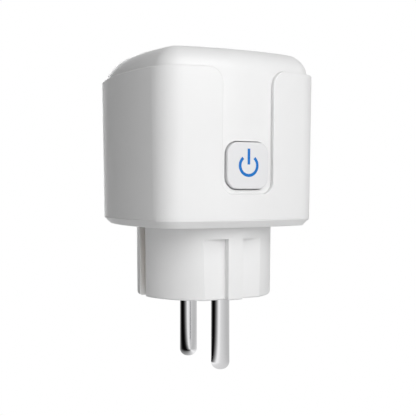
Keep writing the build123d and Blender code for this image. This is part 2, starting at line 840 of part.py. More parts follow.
with BuildPart() as shutter_spring:
    with BuildLine() as coil:
        Helix(
            spring_pitch,
            spring_pitch * shutter_spring_turns,
            coil_radius,
            center=(shutter_high_x + shutter_spring_wire, 0, spring_z),
            direction=(1, 0, 0),
        )
    with BuildSketch(Plane(coil.line @ 0, z_dir=coil.line % 0)):
        Circle(shutter_spring_wire / 2)
    sweep(is_frenet=True)
shutter_spring.part.label = "shutter_spring"
export_step(shutter_spring.part, "parts/shutter_spring.step")

# --- Line and neutral contacts ----------------------------------------------------------------

contact_top_z = carrier_bottom_z - shutter_clearance
contact_pinch_z = (contact_top_z + pin_reach_z) / 2
contact_low_z = board_top_z + busbar_thickness + contact_thickness

for name, y in (("line_contact", -pin_y), ("neutral_contact", pin_y)):
    with BuildPart() as contact:
        for side in (-1, 1):
            add(strip(
                [
                    (0, contact_low_z),
                    (side * contact_mouth / 2, contact_low_z),
                    (side * contact_mouth / 2, pin_reach_z + contact_thickness),
                    (side * (contact_pinch + contact_thickness) / 2, contact_pinch_z),
                    (side * contact_mouth / 2, contact_top_z - contact_thickness),
                ],
                contact_thickness,
                contact_thickness,
                contact_width,
            ).moved(Location((0, y, 0))))
        # Tail through the power board
        with BuildSketch(Plane.XY.offset(board_bottom_z - contact_thickness)):
            with Locations((0, y)):
                Rectangle(contact_thickness, contact_width / 2)
        extrude(amount=contact_low_z - board_bottom_z + contact_thickness)
    contact.part.label = name
    export_step(contact.part, f"parts/{name}.step")

# --- Power board ------------------------------------------------------------------------------

notch_x = bracket_x - bracket_thickness / 2 - part_gap
tail_slot = contact_thickness + 2 * pin_fit

with BuildPart() as main_pcb:
    with BuildSketch(Plane.XY.offset(board_bottom_z)):
        add(body_outline(board_bottom_z, housing_inside + board_clearance + lip_clearance))
        with Locations(*corners_at):
            Circle(boss_radius + part_gap, mode=Mode.SUBTRACT)
        for x, y in corners_at:
            side_x = x / abs(x)
            side_y = y / abs(y)
            with Locations((x + side_x * boss_inset, y + side_y * boss_inset)):
                Rectangle(
                    2 * (boss_inset + part_gap), 2 * (boss_inset + part_gap), mode=Mode.SUBTRACT
                )
        with Locations((-body_width / 2, 0), (body_width / 2, 0)):
            Rectangle(body_width - 2 * notch_x, bracket_width + 2 * part_gap, mode=Mode.SUBTRACT)
        with Locations(*[(busbar_riser_x, y) for x, y in pins_at]):
            Rectangle(
                busbar_thickness + 2 * pin_fit, busbar_width + 2 * pin_fit, mode=Mode.SUBTRACT
            )
        with Locations(*pins_at):
            Rectangle(tail_slot, contact_width / 2 + 2 * pin_fit, mode=Mode.SUBTRACT)
    extrude(amount=board_thickness)
main_pcb.part.label = "main_pcb"
export_step(main_pcb.part, "parts/main_pcb.step")

# --- Parts on the power board -----------------------------------------------------------------

relay_right_x = -cage_x - part_gap
relay_left_x = relay_right_x - relay_width
with BuildPart() as relay:
    add(block(
        (relay_left_x, relay_right_x),
        (-relay_length / 2, relay_length / 2),
        (board_top_z, board_top_z + relay_height),
    ))
    fillet(relay.edges().filter_by(Axis.Z), part_gap)
    chamfer(relay.faces().sort_by(Axis.Z)[-1].edges(), part_gap)
relay.part.label = "relay"
export_step(relay.part, "parts/relay.step")

bar_thickness = busbar_thickness / 2
with BuildPart() as relay_bar:
    add(block(
        (relay_right_x, -contact_thickness / 2),
        (-pin_y - busbar_width / 2, -pin_y + busbar_width / 2),
        (board_top_z, board_top_z + bar_thickness),
    ))
relay_bar.part.label = "relay_bar"
export_step(relay_bar.part, "parts/relay_bar.step")

right_bank_x = busbar_riser_x + busbar_thickness / 2 + part_gap
capacitor_x = right_bank_x + capacitor_radius
capacitor_y = -2 * part_gap
second_capacitor_y = capacitor_y - 2 * capacitor_radius - part_gap
capacitors_at = [(capacitor_x, capacitor_y), (capacitor_x, second_capacitor_y)]


def upright_cans(places, radius, height):
    """Electrolytic capacitors with a crimped groove, standing on the power board."""
    with BuildPart() as cans:
        with BuildSketch(Plane.XY.offset(board_top_z)):
            with Locations(*places):
                Circle(radius)
        extrude(amount=height)
        fillet(cans.faces().sort_by(Axis.Z)[-len(places):].edges(), radius / 8)
        for x, y in places:
            with Locations((x, y, board_top_z + height / 6)):
                Torus(radius + radius / 16, radius / 8, mode=Mode.SUBTRACT)
    return cans.part


with BuildPart() as bulk_capacitors:
    add(upright_cans(capacitors_at, capacitor_radius, capacitor_height))
bulk_capacitors.part.label = "bulk_capacitors"
export_step(bulk_capacitors.part, "parts/bulk_capacitors.step")

transformer_low_y = capacitor_y + capacitor_radius + part_gap
transformer_low_x = right_bank_x
with BuildPart() as transformer_core:
    add(block(
        (transformer_low_x, transformer_low_x + transformer_width),
        (transformer_low_y, transformer_low_y + transformer_width),
        (board_top_z, board_top_z + transformer_height),
    ))
    window = (transformer_height - 2 * core_thickness, transformer_width - 2 * core_thickness)
    with BuildSketch(Plane.YZ.offset(transformer_low_x)):
        with Locations((
            transformer_low_y + transformer_width / 2, board_top_z + transformer_height / 2
        )):
            Rectangle(window[1], window[0])
    extrude(amount=transformer_width, mode=Mode.SUBTRACT)
    chamfer(transformer_core.faces().sort_by(Axis.Z)[-1].edges(), part_gap / 2)
transformer_core.part.label = "transformer_core"
export_step(transformer_core.part, "parts/transformer_core.step")

winding_margin = (transformer_width - winding_length) / 2
with BuildPart() as transformer_winding:
    with BuildSketch(Plane.YZ.offset(transformer_low_x + winding_margin)):
        with Locations((
            transformer_low_y + transformer_width / 2, board_top_z + transformer_height / 2
        )):
            Rectangle(window[1], window[0])
    extrude(amount=winding_length)
    fillet(transformer_winding.edges().filter_by(Axis.X), part_gap)
transformer_winding.part.label = "transformer_winding"
export_step(transformer_winding.part, "parts/transformer_winding.step")

with BuildPart() as varistor:
    varistor_y = relay_length / 2 + part_gap + varistor_thickness
    with BuildSketch(Plane.XZ.offset(-varistor_y)):
        with Locations((relay_left_x + varistor_radius, board_top_z + varistor_radius + part_gap)):
            Circle(varistor_radius)
    extrude(amount=varistor_thickness)
    fillet(varistor.edges().filter_by(GeomType.CIRCLE), part_gap)
    with BuildSketch(Plane.XY.offset(board_top_z)):
        with Locations((relay_left_x + varistor_radius, varistor_y - varistor_thickness / 2)):
            Rectangle(varistor_radius, header_pin)
    extrude(amount=varistor_radius)
varistor.part.label = "varistor"
export_step(varistor.part, "parts/varistor.step")

choke_x = relay_left_x + choke_radius + part_gap
choke_y = -relay_length / 2 - part_gap - choke_radius
with BuildPart() as choke:
    with BuildSketch(Plane.XY.offset(board_top_z)):
        with Locations((choke_x, choke_y)):
            Circle(choke_radius)
    extrude(amount=choke_height)
    with BuildSketch(Plane.XY.offset(board_top_z + choke_height / 5)):
        with Locations((choke_x, choke_y)):
            Circle(choke_radius)
            Circle(choke_radius - part_gap, mode=Mode.SUBTRACT)
    extrude(amount=choke_height * 3 / 5, mode=Mode.SUBTRACT)
choke.part.label = "choke"
export_step(choke.part, "parts/choke.step")

fuse_x = button_board_width / 2 + part_gap + fuse_radius
fuse_y = second_capacitor_y - capacitor_radius - part_gap - fuse_radius
with BuildPart() as fuse_resistor:
    with BuildSketch(Plane.XY.offset(board_top_z)):
        with Locations((fuse_x, fuse_y)):
            Circle(fuse_radius)
    extrude(amount=fuse_height)
    fillet(fuse_resistor.edges().filter_by(GeomType.CIRCLE), part_gap)
fuse_resistor.part.label = "fuse_resistor"
export_step(fuse_resistor.part, "parts/fuse_resistor.step")

output_capacitor_x = wifi_board_width / 2 + part_gap + output_capacitor_radius
output_capacitor_y = transformer_low_y + transformer_width + part_gap + output_capacitor_radius
with BuildPart() as output_capacitor:
    add(upright_cans(
        [(output_capacitor_x, output_capacitor_y)],
        output_capacitor_radius,
        output_capacitor_height,
    ))
output_capacitor.part.label = "output_capacitor"
export_step(output_capacitor.part, "parts/output_capacitor.step")

# Flat parts under the power board, over the hollow neck
chip_x = busbar_riser_x + busbar_thickness + chip_width / 2
chip_y = bracket_width / 2 + part_gap + chip_length / 2
under_parts = (
    ("bridge_rectifier", (chip_x, chip_y), (chip_width, chip_length, rectifier_height)),
    ("power_chip", (chip_x, -chip_y), (chip_width, chip_length, chip_height)),
    ("metering_chip", (-chip_x, -chip_y), (chip_width, chip_length, chip_height)),
    ("shunt_resistor", (-chip_x, chip_y), (shunt_width, shunt_length, shunt_height)),
)
for name, (x, y), (width, length, height) in under_parts:
    with BuildPart() as flat_part:
        add(block(
            (x - width / 2, x + width / 2),
            (y - length / 2, y + length / 2),
            (board_bottom_z - height, board_bottom_z),
        ))
        chamfer(flat_part.faces().sort_by(Axis.Z)[0].edges(), part_gap / 2)
    flat_part.part.label = name
    export_step(flat_part.part, f"parts/{name}.step")

# --- Button board: switch, plunger, light and pins --------------------------------------------

board_edge = board_top_z + shutter_clearance
with BuildPart() as button_board:
    add(block(
        (-button_board_width / 2, button_board_width / 2),
        (switch_back_y, button_board_back_y),
        (board_edge, button_board_top_z),
    ))
    fillet(button_board.edges().filter_by(Axis.Y), part_gap)
button_board.part.label = "button_board"
export_step(button_board.part, "parts/button_board.step")

with BuildPart() as board_header:
    add(block(
        (-3 * header_pitch, 3 * header_pitch),
        (switch_back_y - header_depth, switch_back_y),
        (board_top_z, board_top_z + header_height),
    ))
board_header.part.label = "board_header"
export_step(board_header.part, "parts/board_header.step")

with BuildPart() as switch_body:
    add(block(
        (-switch_size / 2, switch_size / 2),
        (switch_front_y, switch_back_y),
        (button_z - switch_size / 2, button_z + switch_size / 2),
    ))
    fillet(switch_body.edges().filter_by(Axis.Y), part_gap)
    with BuildSketch(Plane.XZ.offset(-switch_back_y + switch_depth - plunger_sunk - button_travel)):
        with Locations((0, button_z)):
            Circle(plunger_radius + plunger_clearance)
    extrude(amount=plunger_sunk + button_travel, mode=Mode.SUBTRACT)
switch_body.part.label = "switch_body"
export_step(switch_body.part, "parts/switch_body.step")

with BuildPart() as switch_plunger:
    with BuildSketch(Plane.XZ.offset(-switch_front_y - plunger_sunk + part_gap)):
        with Locations((0, button_z)):
            Circle(plunger_radius)
    extrude(amount=switch_front_y - plunger_tip_y + plunger_sunk - part_gap)
    fillet(switch_plunger.faces().sort_by(Axis.Y)[0].edges(), part_gap / 2)
switch_plunger.part.label = "switch_plunger"
export_step(switch_plunger.part, "parts/switch_plunger.step")

led_low_z = button_z + switch_size / 2 + led_gap
with BuildPart() as status_led:
    add(block(
        (-led_width / 2, led_width / 2),
        (switch_back_y - led_depth, switch_back_y),
        (led_low_z, led_low_z + led_height),
    ))
status_led.part.label = "status_led"
export_step(status_led.part, "parts/status_led.step")

# --- Radio board ------------------------------------------------------------------------------

wifi_back_y = (
    half_width(board_top_z, housing_inside) - shield_gap - shield_depth - wifi_board_thickness
)
with BuildPart() as wifi_board:
    add(block(
        (-wifi_board_width / 2, wifi_board_width / 2),
        (wifi_back_y, wifi_back_y + wifi_board_thickness),
        (board_edge, board_edge + wifi_board_height),
    ))
wifi_board.part.label = "wifi_board"
export_step(wifi_board.part, "parts/wifi_board.step")

with BuildPart() as wifi_shield:
    shield_low_z = board_edge + header_height
    add(block(
        (-shield_width / 2, shield_width / 2),
        (wifi_back_y + wifi_board_thickness, wifi_back_y + wifi_board_thickness + shield_depth),
        (shield_low_z, shield_low_z + shield_height),
    ))
    fillet(wifi_shield.edges().filter_by(Axis.Y), part_gap)
wifi_shield.part.label = "wifi_shield"
export_step(wifi_shield.part, "parts/wifi_shield.step")

with BuildPart() as wifi_header:
    add(block(
        (-3.5 * header_pitch, 3.5 * header_pitch),
        (wifi_back_y - header_depth, wifi_back_y),
        (board_top_z, board_top_z + header_height),
    ))
wifi_header.part.label = "wifi_header"
export_step(wifi_header.part, "parts/wifi_header.step")

# --- Screws that close the base cover onto the housing ----------------------------------------

screw_seat_z = shoulder_z + screw_head_height
with BuildPart() as housing_screws:
    with BuildSketch(Plane.XY.offset(shoulder_z + pin_fit)):
        with Locations(*corners_at):
            Circle(screw_head_radius)
    extrude(amount=screw_head_height - pin_fit)
    with BuildSketch(Plane.XY.offset(screw_seat_z)):
        with Locations(*corners_at):
            Circle(pilot_radius)
    extrude(amount=screw_length - screw_head_height)
    with BuildSketch(Plane.XY.offset(shoulder_z + pin_fit)):
        with Locations(*corners_at):
            Rectangle(screw_head_radius * 1.2, screw_head_radius / 4)
            Rectangle(screw_head_radius / 4, screw_head_radius * 1.2)
    extrude(amount=screw_head_height / 2, mode=Mode.SUBTRACT)
housing_screws.part.label = "housing_screws"
export_step(housing_screws.part, "parts/housing_screws.step")
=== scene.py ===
import math

import bmesh
import bpy
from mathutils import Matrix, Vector


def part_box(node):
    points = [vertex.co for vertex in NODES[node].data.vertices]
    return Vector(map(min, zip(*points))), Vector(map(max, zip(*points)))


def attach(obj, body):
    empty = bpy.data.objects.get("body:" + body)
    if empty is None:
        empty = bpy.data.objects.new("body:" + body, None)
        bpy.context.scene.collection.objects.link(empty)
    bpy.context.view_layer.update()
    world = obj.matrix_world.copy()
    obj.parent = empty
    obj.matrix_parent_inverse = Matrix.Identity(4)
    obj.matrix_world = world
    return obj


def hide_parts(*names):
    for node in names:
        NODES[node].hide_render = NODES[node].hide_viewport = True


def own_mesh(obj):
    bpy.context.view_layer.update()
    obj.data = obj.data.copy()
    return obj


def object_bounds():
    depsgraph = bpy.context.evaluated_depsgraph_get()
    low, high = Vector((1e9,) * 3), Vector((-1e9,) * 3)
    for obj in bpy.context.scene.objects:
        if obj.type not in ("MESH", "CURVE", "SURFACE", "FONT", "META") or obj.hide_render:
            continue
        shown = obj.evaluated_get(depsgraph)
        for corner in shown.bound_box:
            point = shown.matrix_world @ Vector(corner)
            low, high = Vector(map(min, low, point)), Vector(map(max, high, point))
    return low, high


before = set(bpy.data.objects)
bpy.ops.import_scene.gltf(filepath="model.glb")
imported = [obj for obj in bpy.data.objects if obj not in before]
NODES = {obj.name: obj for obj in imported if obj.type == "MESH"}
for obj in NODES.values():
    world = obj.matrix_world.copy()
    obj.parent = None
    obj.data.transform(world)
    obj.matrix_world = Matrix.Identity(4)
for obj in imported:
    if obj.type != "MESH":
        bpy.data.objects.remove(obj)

CAD_LOW, CAD_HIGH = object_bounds()

bl_info = {
    "name": "Smart plug finish",
    "version": (1, 0, 0),
    "blender": (4, 5, 0),
    "location": "View3D > Sidebar > Smart plug",
    "description": "Finishes, small parts, floor, lights and camera for a smart plug",
    "category": "Object",
}

# Which pieces share a finish
WHITE_SHELLS = ("outer_sleeve", "inner_housing", "base_cover", "socket_cup")
PLATED_PINS = ("line_pin", "neutral_pin")
EARTH_BRASS = ("plug_earth_strap", "socket_earth_bracket", "earth_rivet")
CONTACT_BRONZE = ("line_contact", "neutral_contact")
COPPER_STRAPS = ("line_busbar", "neutral_busbar", "relay_bar", "shunt_resistor")
ZINC_STEEL = ("carrier_screws", "housing_screws", "shutter_spring")
CHIPS = ("bridge_rectifier", "power_chip", "metering_chip", "board_header", "wifi_header")
FERRITES = ("transformer_core", "choke")
CANS = ("bulk_capacitors", "output_capacitor")

# How bright the room looks in gloss, from its left (0) through the camera's side to its right (1)
ROOM_LEVELS = ((0.05, 0.016), (0.19, 0.3), (0.37, 0.9), (0.43, 0.9), (0.6, 0.7), (0.82, 0.6))
LIGHT_DISTANCE = 0.6
FILL_HEIGHT = 0.05
LEGGED_CHIPS = ("power_chip", "metering_chip", "bridge_rectifier")


class PlasticFinish(bpy.types.PropertyGroup):
    """The white shells and the button."""

    shell_colour: bpy.props.FloatVectorProperty(
        name="Shell colour", description="Colour of the moulded shells",
        subtype="COLOR", size=3, min=0.0, max=1.0, default=(0.86, 0.86, 0.86),
    )
    button_colour: bpy.props.FloatVectorProperty(
        name="Button colour", description="Colour of the push button",
        subtype="COLOR", size=3, min=0.0, max=1.0, default=(0.80, 0.80, 0.81),
    )
    shell_roughness: bpy.props.FloatProperty(
        name="Shell roughness", description="Mean roughness of the moulded shells",
        min=0.0, max=1.0, default=0.42,
    )
    grain_size: bpy.props.FloatProperty(
        name="Grain size", description="Size of the mould's spark-eroded grain",
        subtype="DISTANCE", unit="LENGTH", default=0.00035,
    )
    grain_depth: bpy.props.FloatProperty(
        name="Grain depth", description="Height of the grain",
        subtype="DISTANCE", unit="LENGTH", default=0.000004, precision=6,
    )


class IconFinish(bpy.types.PropertyGroup):
    """The power symbol in the button."""

    colour: bpy.props.FloatVectorProperty(
        name="Colour", description="Colour of the symbol",
        subtype="COLOR", size=3, min=0.0, max=1.0, default=(0.002, 0.165, 0.55),
    )
    # The glow below is painted: the symbol emits faint light of its own, with no lamp behind it.
    painted_glow: bpy.props.FloatProperty(
        name="Glow", description="How strongly the symbol is given a painted glow",
        min=0.0, max=5.0, default=0.08,
    )


class MetalFinish(bpy.types.PropertyGroup):
    """Pins, contacts, straps and screws."""

    plating: bpy.props.FloatVectorProperty(
        name="Pin plating", description="Colour of the plated pins",
        subtype="COLOR", size=3, min=0.0, max=1.0, default=(0.86, 0.86, 0.87),
    )
    brass: bpy.props.FloatVectorProperty(
        name="Brass", description="Colour of the earth springs",
        subtype="COLOR", size=3, min=0.0, max=1.0, default=(0.80, 0.60, 0.28),
    )
    bronze: bpy.props.FloatVectorProperty(
        name="Bronze", description="Colour of the pin contacts",
        subtype="COLOR", size=3, min=0.0, max=1.0, default=(0.72, 0.46, 0.26),
    )
    copper: bpy.props.FloatVectorProperty(
        name="Copper", description="Colour of the straps",
        subtype="COLOR", size=3, min=0.0, max=1.0, default=(0.78, 0.38, 0.22),
    )
    steel: bpy.props.FloatVectorProperty(
        name="Steel", description="Colour of the zinc-plated screws and the spring",
        subtype="COLOR", size=3, min=0.0, max=1.0, default=(0.58, 0.58, 0.60),
    )
    pin_roughness: bpy.props.FloatProperty(
        name="Pin roughness", description="Roughness of the plated pins",
        min=0.0, max=1.0, default=0.07,
    )


class SmallPartSizes(bpy.types.PropertyGroup):
    """Sizes of the legs, pins and tracks on the boards"""

    pin_width: bpy.props.FloatProperty(
        name="Header pin", description="Width of a square header pin",
        subtype="DISTANCE", unit="LENGTH", precision=5, default=0.0005,
    )
    pin_pitch: bpy.props.FloatProperty(
        name="Pin pitch", description="Distance from one header pin to the next",
        subtype="DISTANCE", unit="LENGTH", precision=5, default=0.002,
    )
    leg_width: bpy.props.FloatProperty(
        name="Chip leg", description="Width of a chip's leg",
        subtype="DISTANCE", unit="LENGTH", precision=5, default=0.0004,
    )
    leg_pitch: bpy.props.FloatProperty(
        name="Leg pitch", description="Distance from one chip leg to the next",
        subtype="DISTANCE", unit="LENGTH", precision=5, default=0.00127,
    )
    leg_thickness: bpy.props.FloatProperty(
        name="Leg thickness", description="Thickness of a chip's leg",
        subtype="DISTANCE", unit="LENGTH", precision=5, default=0.00015,
    )
    track_width: bpy.props.FloatProperty(
        name="Aerial track", description="Width of the radio board's printed aerial",
        subtype="DISTANCE", unit="LENGTH", precision=5, default=0.0005,
    )


class StudioSetup(bpy.types.PropertyGroup):
    """Floor, lights and camera."""

    camera_distance: bpy.props.FloatProperty(
        name="Camera distance", description="From the plug's axis to the camera",
        subtype="DISTANCE", unit="LENGTH", default=0.21566,
    )
    camera_azimuth: bpy.props.FloatProperty(
        name="Camera azimuth", description="Turn of the camera round the plug from its front",
        subtype="ANGLE", unit="ROTATION", default=math.radians(-27.007),
    )
    camera_turn: bpy.props.FloatProperty(
        name="Camera turn", description="How far the camera looks past the plug's axis",
        subtype="ANGLE", unit="ROTATION", default=math.radians(-0.312),
    )
    camera_height: bpy.props.FloatProperty(
        name="Camera height", description="Above the plug's engagement face",
        subtype="DISTANCE", unit="LENGTH", default=0.02879,
    )
    lens: bpy.props.FloatProperty(
        name="Lens", description="Focal length on a 36 mm sensor, in millimetres", default=68.63,
    )
    shift_up: bpy.props.FloatProperty(
        name="Lens shift", description="Vertical lens shift", default=-0.0533,
    )
    floor_colour: bpy.props.FloatVectorProperty(
        name="Floor colour", description="Colour of the floor",
        subtype="COLOR", size=3, min=0.0, max=1.0, default=(0.9, 0.9, 0.9),
    )
    key_power: bpy.props.FloatProperty(
        name="Key light", description="Power of the large light in front and above",
        subtype="POWER", unit="POWER", default=2.75,
    )
    fill_power: bpy.props.FloatProperty(
        name="Fill light", description="Power of the light behind, on the right",
        subtype="POWER", unit="POWER", default=2.2,
    )
    fill_size: bpy.props.FloatProperty(
        name="Fill size", description="Width and height of the fill light",
        subtype="DISTANCE", unit="LENGTH", default=0.4,
    )
    fill_azimuth: bpy.props.FloatProperty(
        name="Fill azimuth", description="Turn of the fill light from the plug's front",
        subtype="ANGLE", unit="ROTATION", default=math.radians(158.0),
    )
    key_size: bpy.props.FloatProperty(
        name="Key size", description="Width and height of the key light",
        subtype="DISTANCE", unit="LENGTH", default=0.5,
    )
    key_azimuth: bpy.props.FloatProperty(
        name="Key azimuth", description="Turn of the key light from the plug's front",
        subtype="ANGLE", unit="ROTATION", default=math.radians(-2.0),
    )
    key_elevation: bpy.props.FloatProperty(
        name="Key elevation", description="Angle of the key light above the plug",
        subtype="ANGLE", unit="ROTATION", default=math.radians(26.0),
    )
    room_light: bpy.props.FloatProperty(
        name="Room light", description="Strength of the light from all round",
        min=0.0, max=5.0, default=0.2,
    )
    room_azimuth: bpy.props.FloatProperty(
        name="Room azimuth", description="Turn of the mirrored room about the plug",
        subtype="ANGLE", unit="ROTATION", default=math.radians(-27.007),
    )
    mirrored_room: bpy.props.FloatProperty(
        name="Mirrored room", description="Brightness of the room as gloss shows it",
        min=0.0, max=5.0, default=1.1,
    )


# --- Node helpers ---------------------------------------------------------------------------


def add_node(tree, kind, **values):
    """Adds a node and sets its own properties and its unlinked sockets."""
    node = tree.nodes.new(kind)
    for name, value in values.items():
        if hasattr(node, name):
            setattr(node, name, value)
        else:
            node.inputs[name.replace("_", " ")].default_value = value
    return node


def link(tree, *pairs):
    """Links pairs of (output, input) sockets."""
    for output, socket in pairs:
        tree.links.new(output, socket)


def new_group(name, inputs, outputs):
    """An empty shader node group with named float and colour sockets."""
    tree = bpy.data.node_groups.new(name, "ShaderNodeTree")
    for label, kind, default in inputs:
        socket = tree.interface.new_socket(label, in_out="INPUT", socket_type=kind)
        socket.default_value = default
    for label, kind in outputs:
        tree.interface.new_socket(label, in_out="OUTPUT", socket_type=kind)
    start = add_node(tree, "NodeGroupInput")
    end = add_node(tree, "NodeGroupOutput")
    return tree, start, end


def moulded_surface():
    """Spark-eroded grain, faint flow shading and roughness change of moulded plastic."""
    tree = bpy.data.node_groups.get("moulded_surface")
    if tree:
        return tree
    tree, start, end = new_group(
        "moulded_surface",
        (
            ("Colour", "NodeSocketColor", (0.8, 0.8, 0.8, 1.0)),
            ("Shade", "NodeSocketColor", (0.7, 0.7, 0.7, 1.0)),
            ("Roughness Low", "NodeSocketFloat", 0.3),
            ("Roughness High", "NodeSocketFloat", 0.5),
            ("Grain Scale", "NodeSocketFloat", 2500.0),
            ("Flow Scale", "NodeSocketFloat", 45.0),
        ),
        (
            ("Colour", "NodeSocketColor"),
            ("Roughness", "NodeSocketFloat"),
            ("Height", "NodeSocketFloat"),
        ),
    )
    place = add_node(tree, "ShaderNodeTexCoord")
    grain = add_node(tree, "ShaderNodeTexNoise", Detail=2.0, Roughness=0.6)
    flow = add_node(tree, "ShaderNodeTexNoise", Detail=3.0, Roughness=0.45, Distortion=0.4)
    tint = add_node(tree, "ShaderNodeMapRange", From_Min=0.35, From_Max=0.75)
    tint.clamp = True
    blend = add_node(tree, "ShaderNodeMix", data_type="RGBA")
    rough = add_node(tree, "ShaderNodeMapRange", From_Min=0.3, From_Max=0.7)
    link(
        tree,
        (place.outputs["Object"], grain.inputs["Vector"]),
        (place.outputs["Object"], flow.inputs["Vector"]),
        (start.outputs["Grain Scale"], grain.inputs["Scale"]),
        (start.outputs["Flow Scale"], flow.inputs["Scale"]),
        (flow.outputs["Fac"], tint.inputs["Value"]),
        (tint.outputs["Result"], blend.inputs[0]),
        (start.outputs["Colour"], blend.inputs[6]),
        (start.outputs["Shade"], blend.inputs[7]),
        (blend.outputs[2], end.inputs["Colour"]),
        (flow.outputs["Fac"], rough.inputs["Value"]),
        (start.outputs["Roughness Low"], rough.inputs["To Min"]),
        (start.outputs["Roughness High"], rough.inputs["To Max"]),
        (rough.outputs["Result"], end.inputs["Roughness"]),
        (grain.outputs["Fac"], end.inputs["Height"]),
    )
    return tree


def drawn_metal():
    """Fine lines left by turning or rolling, with dull patches, on sheet and bar metal."""
    tree = bpy.data.node_groups.get("drawn_metal")
    if tree:
        return tree
    tree, start, end = new_group(
        "drawn_metal",
        (
            ("Colour", "NodeSocketColor", (0.8, 0.8, 0.8, 1.0)),
            ("Dull", "NodeSocketColor", (0.6, 0.6, 0.6, 1.0)),
            ("Roughness Low", "NodeSocketFloat", 0.1),
            ("Roughness High", "NodeSocketFloat", 0.3),
            ("Line Scale", "NodeSocketFloat", 3000.0),
            ("Patch Scale", "NodeSocketFloat", 120.0),
        ),
        (
            ("Colour", "NodeSocketColor"),
            ("Roughness", "NodeSocketFloat"),
            ("Height", "NodeSocketFloat"),
        ),
    )
    place = add_node(tree, "ShaderNodeTexCoord")
    squeeze = add_node(tree, "ShaderNodeMapping")
    squeeze.inputs["Scale"].default_value = (0.02, 0.02, 1.0)
    lines = add_node(tree, "ShaderNodeTexNoise", Detail=2.0, Roughness=0.5)
    patches = add_node(tree, "ShaderNodeTexNoise", Detail=4.0, Roughness=0.6)
    dull = add_node(tree, "ShaderNodeMapRange", From_Min=0.45, From_Max=0.75)
    blend = add_node(tree, "ShaderNodeMix", data_type="RGBA")
    rough = add_node(tree, "ShaderNodeMapRange", From_Min=0.35, From_Max=0.7)
    link(
        tree,
        (place.outputs["Object"], squeeze.inputs["Vector"]),
        (squeeze.outputs["Vector"], lines.inputs["Vector"]),
        (start.outputs["Line Scale"], lines.inputs["Scale"]),
        (place.outputs["Object"], patches.inputs["Vector"]),
        (start.outputs["Patch Scale"], patches.inputs["Scale"]),
        (patches.outputs["Fac"], dull.inputs["Value"]),
        (dull.outputs["Result"], blend.inputs[0]),
        (start.outputs["Colour"], blend.inputs[6]),
        (start.outputs["Dull"], blend.inputs[7]),
        (blend.outputs[2], end.inputs["Colour"]),
        (patches.outputs["Fac"], rough.inputs["Value"]),
        (start.outputs["Roughness Low"], rough.inputs["To Min"]),
        (start.outputs["Roughness High"], rough.inputs["To Max"]),
        (rough.outputs["Result"], end.inputs["Roughness"]),
        (lines.outputs["Fac"], end.inputs["Height"]),
    )
    return tree


def printed_tracks():
    """Copper tracks under solder mask, as raised lighter lines with square corners."""
    tree = bpy.data.node_groups.get("printed_tracks")
    if tree:
        return tree
    tree, start, end = new_group(
        "printed_tracks",
        (
            ("Mask", "NodeSocketColor", (0.02, 0.15, 0.06, 1.0)),
            ("Track", "NodeSocketColor", (0.05, 0.3, 0.12, 1.0)),
            ("Pitch Scale", "NodeSocketFloat", 400.0),
        ),
        (
            ("Colour", "NodeSocketColor"),
            ("Roughness", "NodeSocketFloat"),
            ("Height", "NodeSocketFloat"),
        ),
    )
    place = add_node(tree, "ShaderNodeTexCoord")
    cells = add_node(tree, "ShaderNodeTexVoronoi", feature="F1", distance="CHEBYCHEV")
    lines = add_node(tree, "ShaderNodeMath", operation="SINE")
    spread = add_node(tree, "ShaderNodeMath", operation="MULTIPLY")
    spread.inputs[1].default_value = 24.0
    tracks = add_node(tree, "ShaderNodeMapRange", From_Min=0.1, From_Max=0.3)
    tracks.clamp = True
    blend = add_node(tree, "ShaderNodeMix", data_type="RGBA")
    rough = add_node(tree, "ShaderNodeMapRange", To_Min=0.32, To_Max=0.45)
    link(
        tree,
        (place.outputs["Object"], cells.inputs["Vector"]),
        (start.outputs["Pitch Scale"], cells.inputs["Scale"]),
        (cells.outputs["Distance"], spread.inputs[0]),
        (spread.outputs["Value"], lines.inputs[0]),
        (lines.outputs["Value"], tracks.inputs["Value"]),
        (tracks.outputs["Result"], blend.inputs[0]),
        (start.outputs["Mask"], blend.inputs[6]),
        (start.outputs["Track"], blend.inputs[7]),
        (blend.outputs[2], end.inputs["Colour"]),
        (tracks.outputs["Result"], rough.inputs["Value"]),
        (rough.outputs["Result"], end.inputs["Roughness"]),
        (tracks.outputs["Result"], end.inputs["Height"]),
    )
    return tree


def with_alpha(colour, share=1.0):
    """A colour property as RGBA, scaled towards black by share."""
    return (colour[0] * share, colour[1] * share, colour[2] * share, 1.0)


def new_finish(name, group_tree, group_values, bump_height, **shader_values):
    """A material whose colour, roughness and bump come from a node group."""
    material = bpy.data.materials.new(name)
    material.use_nodes = True
    tree = material.node_tree
    shader = tree.nodes["Principled BSDF"]
    for label, value in shader_values.items():
        shader.inputs[label.replace("_", " ")].default_value = value
    surface = tree.nodes.new("ShaderNodeGroup")
    surface.node_tree = group_tree
    for label, value in group_values.items():
        surface.inputs[label].default_value = value
    bump = add_node(tree, "ShaderNodeBump", Strength=1.0, Distance=bump_height)
    link(
        tree,
        (surface.outputs["Colour"], shader.inputs["Base Color"]),
        (surface.outputs["Roughness"], shader.inputs["Roughness"]),
        (surface.outputs["Height"], bump.inputs["Height"]),
        (bump.outputs["Normal"], shader.inputs["Normal"]),
    )
    return material


def moulded(
    name, colour, roughness, grain_size=0.0003, grain_depth=0.000004, shade=0.93, **shader
):
    """A moulded plastic in one colour."""
    values = {
        "Colour": with_alpha(colour),
        "Shade": with_alpha(colour, shade),
        "Roughness Low": roughness * 0.85,
        "Roughness High": roughness * 1.15,
        "Grain Scale": 1.0 / grain_size,
    }
    return new_finish(name, moulded_surface(), values, grain_depth, **shader)


def metal(name, colour, roughness, line_size=0.0002, line_depth=0.0000015, dull=0.8):
    """A drawn or rolled metal in one colour."""
    values = {
        "Colour": with_alpha(colour),
        "Dull": with_alpha(colour, dull),
        "Roughness Low": roughness,
        "Roughness High": roughness * 1.9,
        "Line Scale": 1.0 / line_size,
    }
    return new_finish(name, drawn_metal(), values, line_depth, Metallic=1.0)


